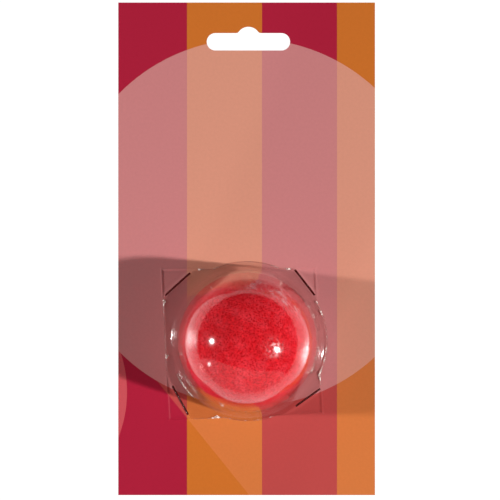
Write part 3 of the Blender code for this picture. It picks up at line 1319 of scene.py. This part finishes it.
    def build(self) -> bpy.types.Object:
        """Join the dome, the flange and the tabs into one outer face, which Solidify gives its
        wall, and write down where the cut edge is crushed and painted with glints, and where the
        sheet is crumpled.

        Returns:
            The sheet, a closed mesh.
        """
        angles = self.directions()
        count = len(angles)
        radius, height = self.main_rings(angles)
        points = [self.to_points(angles, radius, height)]
        faces = [grid_quads(len(radius), count, closed=True)]
        last = (len(radius) - 1) * count
        total = len(radius) * count
        for web in self.webs():
            start, end = np.searchsorted(angles, self.bearings(web) - 1e-9)
            picked = np.arange(start, end + (count if end < start else 0) + 1) % count
            radius, height = self.tab_rings(angles[picked])
            points.append(self.to_points(angles[picked], radius, height))
            numbers = np.concatenate([last + picked, total + np.arange(radius.size)])
            faces.append(numbers[grid_quads(len(radius) + 1, len(picked), closed=False)])
            total += radius.size
        apex = (*self.dome_centre, self.crown_centre + self.dome_radius)
        faces.append(fan(total, np.arange(count)))
        outer = np.concatenate([*points, [apex]])
        sheet = make_object("blister_sheet", self.dented(outer), faces)
        wall = sheet.modifiers.new("wall", "SOLIDIFY")
        wall.thickness = WALL
        wall.offset = -1.0
        wall.use_even_offset = True
        wall.use_quality_normals = True
        settle(sheet)
        sheet.data.set_sharp_from_angle(angle=math.radians(50.0))
        places = vertices(sheet.data)
        crumple, lines = self.crumpled(places)
        crush_glint = self.crush_glint_share(self.bearings(places[:, :2]))
        for name, values in ((CRUSH_GLINT, crush_glint), (CRUMPLE, crumple), (CRUMPLE_LINES, lines)):
            attribute = sheet.data.attributes.new(name, "FLOAT", "POINT")
            attribute.data.foreach_set("value", values.astype(np.float32))
        return sheet

    def cut_faces(self, mesh: bpy.types.Mesh) -> np.ndarray:
        """Which faces are part of the cut edge.

        Args:
            mesh: the sheet's mesh.

        Returns:
            (n,) array of booleans: true within the rim's width of the edge, which grows where
            the edge is crushed and painted with glints, and along a stretch of the dome's foot that
            carries a painted highlight, and false at the folds.
        """
        middles = face_values(mesh, "center")
        angles = self.bearings(middles[:, :2])
        edge, fold = self.outline(angles)
        reach = np.hypot(*(middles[:, :2] - self.dome_centre).T)
        width = self.rim_width + self.crush_glint_width * self.crush_glint_share(angles) ** 2
        foot = self.profile()[-1, 0]
        rim = (reach > np.maximum(edge - width, foot)) & (fold - edge > self.rim_width)
        # Painted highlight along the dome's foot.
        foot_glint = np.abs(np.degrees(angles) - self.foot_glint_bearing) < self.foot_glint_spread
        foot_glint &= np.abs(reach - foot + self.foot_glint_width / 2) < self.foot_glint_width / 2
        return (middles[:, 2] > self.flange_top - 2 * WALL) & (rim | foot_glint)

    def dented(self, points: np.ndarray) -> np.ndarray:
        """The outer face with the waver of a formed sheet and a crumpled patch.

        Args:
            points: (n, 3) array of the true face.

        Returns:
            (n, 3) array: moved towards or away from the dome's middle by soft noise, and
            pressed in along creases. A crease is a cos^8 of the line value over its pitch.
        """
        raised = eased(points[:, 2] - self.flange_top, *self.waver_rise)
        near, lines = self.crumpled(points)
        wave = np.cos(lines * math.pi / self.crease_pitch) ** 8
        broken = eased(LatticeNoise(23)(points, self.crease_break_size), -0.35, 0.35)
        shift = self.waver * LatticeNoise(21)(points, self.waver_size) * raised
        shift -= self.crease * near * wave * broken
        return points + self.outward(points) * shift[:, None]

    def outward(self, points: np.ndarray) -> np.ndarray:
        """(n, 3) array of unit vectors from the dome's middle to points."""
        way = points - np.array([*self.dome_centre, self.crown_centre])
        return way / np.linalg.norm(way, axis=1, keepdims=True)

    def crumpled(self, points: np.ndarray) -> tuple[np.ndarray, np.ndarray]:
        """The crumpled patch round the crown's upper right shoulder.

        Args:
            points: (n, 3) array of places on the sheet.

        Returns:
            (n,) arrays of how crumpled each place is, from 0 to 1, and of the value whose even
            steps give the creases: the elevation in degrees with a wander given by noise.
        """
        way = self.outward(points)
        azimuth = np.degrees(np.arctan2(way[:, 1], way[:, 0]))
        elevation = np.degrees(np.arcsin(way[:, 2]))
        near = np.ones_like(azimuth)
        limits = ((azimuth, self.crumple_azimuths), (elevation, self.crumple_elevations))
        for values, (start, full, fading, end) in limits:
            near *= eased(values, start, full) * eased(values, end, fading)
        wander = LatticeNoise(22)(points, self.crease_wander_size)
        return near, elevation + self.crease_wander * wander

    def dress(
        self, sheet: bpy.types.Object, finish: SheetFinish, edge_finish: CutEdgeFinish
    ) -> None:
        """Give the sheet its clear face and cut edges, and its place on the part.

        Args:
            sheet: the sheet.
            finish: the finish of its faces.
            edge_finish: the finish of its cut edge and of the painted highlight on its foot.
        """
        add_piece(sheet, "blister", [finish.build(), edge_finish.build()])
        cut = self.cut_faces(sheet.data).astype(np.int32)
        sheet.data.polygons.foreach_set("material_index", cut)
        sheet.data.update()


@dataclass
class HangCard:
    """The die-cut board, drawn in a little over the tabs behind it."""

    blister: Blister
    size: Point = (0.0985, 0.189)
    back: float = 0.00065
    front: float = 0.00115
    hole_width: float = 0.032
    hole_height: float = 0.0067
    hole_crown_height: float = 0.0091
    hole_crown_radius: float = 0.0046
    hole_crown_fillet: float = 0.0012
    hole_margin: float = 0.0184
    hole_x: float = 0.0007
    round_steps: int = 24
    fillet_steps: int = 6
    slot_end_steps: int = 8
    coarse: float = 0.002
    fine: float = 0.00020
    tab_drop: float = 0.00017
    tab_slope: float = 0.0010
    ridge: float = 0.00006
    ridge_width: float = 0.00038
    ridge_end: float = 0.0003
    lip: float = 0.00010
    lip_width: float = 0.0005
    lips: tuple[tuple[float, float], ...] = (
        # (distance from the fold towards the tab, share of the lip's height)
        (-0.0009, 1.0),
        (0.0006, 0.7),
    )
    fine_margin: float = 0.0012
    slot_gap: float = 0.00022

    def hang_hole(self) -> np.ndarray:
        """The hang hole: a slot with round ends and a round crown, which two fillets lead into.

        Returns:
            (n, 2) array of its outline, counter-clockwise.
        """
        end_radius = self.hole_height / 2
        end_x = self.hole_width / 2 - end_radius
        crown_y = self.hole_crown_height - self.hole_crown_radius
        fillet_y = self.hole_height + self.hole_crown_fillet
        rise = fillet_y - crown_y
        fillet_x = math.sqrt((self.hole_crown_radius + self.hole_crown_fillet) ** 2 - rise**2)
        lean = math.degrees(math.atan2(rise, fillet_x))
        rounds, fillet = self.round_steps, self.hole_crown_fillet
        parts = [
            arc((end_x, end_radius), end_radius, -90, 90, rounds),
            arc((fillet_x, fillet_y), fillet, 270, 180 + lean, self.fillet_steps),
            arc((0.0, crown_y), self.hole_crown_radius, lean, 180 - lean, rounds)[1:-1],
            arc((-fillet_x, fillet_y), fillet, -lean, -90, self.fillet_steps),
            arc((-end_x, end_radius), end_radius, 90, 270, rounds),
        ]
        return np.concatenate(parts) + (self.hole_x, self.size[1] / 2 - self.hole_margin)

    def slots(self) -> list[np.ndarray]:
        """The four slots, each the web's plan with a gap all round and round ends.

        Returns:
            (n, 2) arrays of their outlines, counter-clockwise.
        """
        outlines: list[np.ndarray] = []
        half = WALL / 2 + self.slot_gap
        steps = self.slot_end_steps
        for start, end in self.blister.webs():
            along = (end - start) / np.linalg.norm(end - start)
            inward = np.array([-along[1], along[0]])
            inward *= np.sign((self.blister.dome_centre - start) @ inward)
            turn = math.degrees(math.atan2(along[1], along[0]))
            near, far = start + inward * WALL / 2, end + inward * WALL / 2
            ends = (
                arc(near, half, turn + 90, turn + 270, steps),
                arc(far, half, turn - 90, turn + 90, steps),
            )
            outlines.append(np.concatenate(ends))
        return outlines

    def graded(self, low: float, high: float, near: np.ndarray) -> np.ndarray:
        """Grid lines along one side, close together only where they are needed.

        Args:
            low: first line.
            high: last line.
            near: (n, 2) ends of the stretches where the lines are close.

        Returns:
            The lines, from the two even spacings.
        """
        coarse = np.linspace(low, high, round((high - low) / self.coarse) + 1)
        fine = [np.arange(start, end, self.fine) for start, end in near]
        clear = np.ones(len(coarse), bool)
        for start, end in near:
            clear &= (coarse < start - 0.3 * self.coarse) | (coarse > end + 0.3 * self.coarse)
        return np.unique(np.concatenate([coarse[clear], *fine]))

    def rise(self, x: np.ndarray, y: np.ndarray) -> np.ndarray:
        """How far the print stands up at a place.

        Args:
            x: places across.
            y: places up.

        Returns:
            The rise: a low step down over each tab, a fine ridge exp(-(d / w)^2) along the
            tab's two cut sides, and lips of the same form along both sides of the slot.
        """
        place = np.stack([x, y], axis=-1)
        total = np.zeros_like(x)
        corners = self.blister.corners()
        for corner, line, web in zip(corners, self.blister.fold_lines(), self.blister.webs()):
            across = self.signed_distance(place, line[0], line[1], corner)
            sides = [self.signed_distance(place, corner, end, line.mean(axis=0)) for end in line]
            inside = np.minimum(np.minimum(*sides), across)
            total -= self.tab_drop * eased(inside, 0.0, self.tab_slope)
            on_tab = eased(across, -self.ridge_end, self.ridge_end)
            on_tab *= np.minimum(*sides) > -self.ridge_width
            for side in sides:
                total += self.ridge * np.exp(-((side / self.ridge_width) ** 2)) * on_tab
            along = self.along(place, web[0], web[1])
            on_web = eased(along, -0.02, 0.05) * eased(-along, -1.02, -0.95)
            for away, share in self.lips:
                beside = np.exp(-(((across - away) / self.lip_width) ** 2))
                total += self.lip * share * beside * on_web
        return total

    @staticmethod
    def signed_distance(
        place: np.ndarray, start: np.ndarray, end: np.ndarray, towards: np.ndarray
    ) -> np.ndarray:
        """Distance of places from a line.

        Args:
            place: (..., 2) array of places.
            start: one end of the line.
            end: its other end.
            towards: a point on its positive side.

        Returns:
            (...) array of distances, negative on the line's other side.
        """
        along = (end - start) / np.linalg.norm(end - start)
        normal = np.array([-along[1], along[0]])
        normal *= np.sign((towards - start) @ normal)
        return (place - start) @ normal

    @staticmethod
    def along(place: np.ndarray, start: np.ndarray, end: np.ndarray) -> np.ndarray:
        """Share of the way from one point to another at which a place lies."""
        way = end - start
        return (place - start) @ way / (way @ way)

    def build(self) -> bpy.types.Object:
        """Set a drawn-in front over a flat back, with walls between, and cut the holes.

        Returns:
            The card, a closed mesh.
        """
        folds = np.concatenate([self.blister.fold_lines(), self.blister.corners()[:, None]], axis=1)
        low, high = folds.min(axis=1) - self.fine_margin, folds.max(axis=1) + self.fine_margin
        xs, ys = (
            self.graded(-side / 2, side / 2, self.merged(np.stack([starts, ends], axis=1)))
            for side, starts, ends in zip(self.size, low.T, high.T)
        )
        y, x = np.meshgrid(ys, xs, indexing="ij")
        front = np.stack([x, y, self.front + self.rise(x, y)], axis=-1).reshape(-1, 3)
        back = np.stack([x, y, np.full_like(x, self.back)], axis=-1).reshape(-1, 3)
        rows, columns = x.shape
        numbers = np.arange(rows * columns).reshape(rows, columns)
        quads = grid_quads(rows, columns, closed=False)
        rim = np.concatenate(
            [numbers[0, :-1], numbers[:-1, -1], numbers[-1, :0:-1], numbers[:0:-1, 0]]
        )
        below, next_rim = rows * columns, np.roll(rim, -1)
        walls = np.stack([rim, rim + below, next_rim + below, next_rim], axis=1)
        faces = [quads[:, ::-1], quads + below, walls]
        card = make_object("printed_card", np.concatenate([front, back]), faces)
        cutter = prisms([self.hang_hole(), *self.slots()], self.back - 0.001, self.front + 0.001)
        cut = card.modifiers.new("holes", "BOOLEAN")
        cut.operation = "DIFFERENCE"
        cut.object = cutter
        settle(card)
        bpy.data.objects.remove(cutter, do_unlink=True)
        card.data.set_sharp_from_angle(angle=math.radians(40.0))
        return card

    @staticmethod
    def merged(spans: np.ndarray) -> np.ndarray:
        """Join stretches where they overlap.

        Args:
            spans: (n, 2) array of their ends.

        Returns:
            (m, 2) array of the joined stretches' ends, in order.
        """
        joined: list[list[float]] = []
        for low, high in spans[np.argsort(spans[:, 0])]:
            if joined and low <= joined[-1][1]:
                joined[-1][1] = max(joined[-1][1], high)
            else:
                joined.append([low, high])
        return np.array(joined)

    def dress(
        self,
        card: bpy.types.Object,
        print_finish: PrintFinish,
        back_finish: BoardFinish,
        core_finish: BoardFinish,
    ) -> None:
        """Give the card its print, its bare back and its cut core, and its place on the part.

        Args:
            card: the card.
            print_finish: the finish of the faces that point up.
            back_finish: the finish of the faces that point down.
            core_finish: the finish of the cut edges, whose dark red-brown is painted shade with a
                red tint.
        """
        up = face_values(card.data, "normal")[:, 2]
        indices = np.where(up > 0.5, 0, np.where(up < -0.5, 1, 2)).astype(np.int32)
        materials = [print_finish.build(), back_finish.build(), core_finish.build()]
        add_piece(card, "card", materials)
        card.data.polygons.foreach_set("material_index", indices)
        card.data.update()


# The studio

@dataclass(frozen=True)
class Lamp:
    """A small round lamp aimed at the dome.

    Attributes:
        name: its name.
        azimuth: bearing from the dome, counter-clockwise from +X.
        elevation: height above the table.
        distance: from the dome to the lamp.
        spread: width of the lamp as seen from the dome.
        share: the light it gives a matt card, where 1 shows a white card white.
        mirrored: whether glossy surfaces show it.
        lights_matt: whether matt surfaces are lit by it.
    """

    name: str
    azimuth: float
    elevation: float
    distance: float
    spread: float
    share: float
    mirrored: bool = True
    lights_matt: bool = True

    def build(self, aim: Vector) -> None:
        """Hang the lamp. Its power makes its light on the level card equal to its share.

        Args:
            aim: the place that it points at.
        """
        azimuth, elevation = math.radians(self.azimuth), math.radians(self.elevation)
        level = math.cos(elevation)
        way = Vector((math.cos(azimuth) * level, math.sin(azimuth) * level, math.sin(elevation)))
        light = bpy.data.lights.new(self.name, "AREA")
        light.shape = "DISK"
        light.size = self.distance * math.radians(self.spread)
        light.energy = self.share * (math.pi * self.distance) ** 2 / math.sin(elevation)
        lamp = bpy.data.objects.new(self.name, light)
        lamp.location = aim + way * self.distance
        lamp.rotation_euler = way.to_track_quat("Z", "Y").to_euler()
        lamp.visible_glossy = self.mirrored
        lamp.visible_diffuse = self.lights_matt
        bpy.context.scene.collection.objects.link(lamp)


@dataclass
class Studio:
    """The table, the lamps and the camera straight above the card."""

    aim: Vector
    camera_centre: Point = (0.0013, -0.00046)
    camera_distance: float = 1.1
    frame_width: float = 0.19185
    sensor: float = 36.0
    table_radius: float = 0.29
    lamps: tuple[Lamp, ...] = (
        Lamp("key_lamp", -12.0, 35.0, 1.9, 2.6, 0.685),
        Lamp("fill_lamp", 177.0, 25.0, 1.9, 3.7, 0.315),
        Lamp("fill_glint", 177.0, 25.0, 1.9, 3.7, 0.26, lights_matt=False),
        Lamp("window_lamp", 209.0, 9.4, 1.9, 6.5, 0.006),
        Lamp("foot_bounce", 248.0, 6.0, 1.9, 8.0, 0.048, mirrored=False),
        Lamp("head_bounce", 84.0, 6.0, 1.9, 8.0, 0.026, mirrored=False),
    )
    reflector_azimuth: float = 260.0
    reflector_distance: float = 0.9
    reflector_reach: Point = (60.0, 46.0)
    reflector_radiance: float = 0.48
    haze: float = 0.003
    backdrop: float = 0.85

    def build(self, floor_finish: FloorFinish, front: float) -> None:
        """Set the whole studio up.

        Args:
            floor_finish: the table's finish.
            front: level of the card's printed front.
        """
        self.lay_table(floor_finish)
        for lamp in self.lamps:
            lamp.build(self.aim)
        self.stand_reflector()
        self.fill_air()
        self.set_camera(front)

    def lay_table(self, finish: FloorFinish) -> None:
        """Lay a round level table, with its middle under the dome.

        Args:
            finish: its finish.
        """
        rim = arc(self.aim.xy, self.table_radius, 0, 360, 256)[:-1]
        points = np.concatenate([np.insert(rim, 2, 0.0, axis=1), [(*self.aim.xy, 0.0)]])
        table = make_object("table", points, [fan(len(rim), np.arange(len(rim)))])
        table.data.materials.append(finish.build())

    def stand_reflector(self) -> None:
        """Stand a large soft round reflector on the table at the card's foot."""
        azimuth = math.radians(self.reflector_azimuth)
        way = Vector((math.cos(azimuth), math.sin(azimuth), 0.0))
        width, height = (
            2 * self.reflector_distance * math.tan(math.radians(reach))
            for reach in self.reflector_reach
        )
        light = bpy.data.lights.new("reflector", "AREA")
        light.shape = "ELLIPSE"
        light.size = width
        light.size_y = height
        light.energy = self.reflector_radiance * math.pi**2 * width * height / 4
        panel = bpy.data.objects.new("reflector", light)
        panel.location = self.aim + way * self.reflector_distance
        panel.rotation_euler = way.to_track_quat("Z", "Y").to_euler()
        panel.visible_diffuse = False
        bpy.context.scene.collection.objects.link(panel)

    def fill_air(self) -> None:
        """Fill a dim room with air, which only the camera sees as a pale backdrop."""
        world = bpy.data.worlds.new("studio")
        world.use_nodes = True
        nodes, links = world.node_tree.nodes, world.node_tree.links
        background = nodes["Background"]
        seen = nodes.new("ShaderNodeLightPath").outputs["Is Camera Ray"]
        level = nodes.new("ShaderNodeMapRange")
        level.inputs["To Min"].default_value = self.haze
        level.inputs["To Max"].default_value = self.backdrop
        links.new(seen, level.inputs["Value"])
        links.new(level.outputs["Result"], background.inputs["Strength"])
        background.inputs["Color"].default_value = (1.0, 1.0, 1.0, 1.0)
        bpy.context.scene.world = world

    def set_camera(self, front: float) -> None:
        """Hang a long lens straight above the card, whose frame is as wide as the photograph's.

        Args:
            front: level of the card's printed front, which the frame's width is measured at.
        """
        data = bpy.data.cameras.new("overhead")
        data.sensor_width = self.sensor
        data.sensor_fit = "HORIZONTAL"
        data.lens = self.sensor * self.camera_distance / self.frame_width
        data.clip_start = 0.01
        data.clip_end = 20.0
        camera = bpy.data.objects.new("overhead", data)
        camera.location = (*self.camera_centre, front + self.camera_distance)
        bpy.context.scene.collection.objects.link(camera)
        scene = bpy.context.scene
        scene.camera = camera
        scene.view_settings.view_transform = "Standard"
        scene.view_settings.look = "None"


def main() -> None:
    """Build the card, the blister, the nose and the studio, in that order."""
    logging.basicConfig(level=logging.INFO, format="%(name)s: %(message)s")
    card_low, card_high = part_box("card")
    nose_low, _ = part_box("nose")
    blister = Blister()
    card = HangCard(blister, back=card_low.z, front=card_high.z)
    nose = FoamNose(centre=blister.dome_centre, foot_level=nose_low.z)
    card.dress(
        card.build(),
        PrintFinish(),
        BoardFinish("bare_board_back", (0.62, 0.60, 0.56), (0.50, 0.48, 0.45)),
        # The cut core's dark red-brown is painted shade with a red tint, in place of the pale board
        # that lies in shadow in the slots.
        BoardFinish("board_core_painted_shade", (0.42, 0.13, 0.11), (0.26, 0.07, 0.06)),
    )
    blister.dress(blister.build(), SheetFinish(), CutEdgeFinish())
    nose.dress(nose.build(), FoamFinish())
    aim = Vector((*blister.dome_centre, blister.crown_centre))
    Studio(aim).build(FloorFinish(), card.front)


if __name__ == "__main__":
    main()
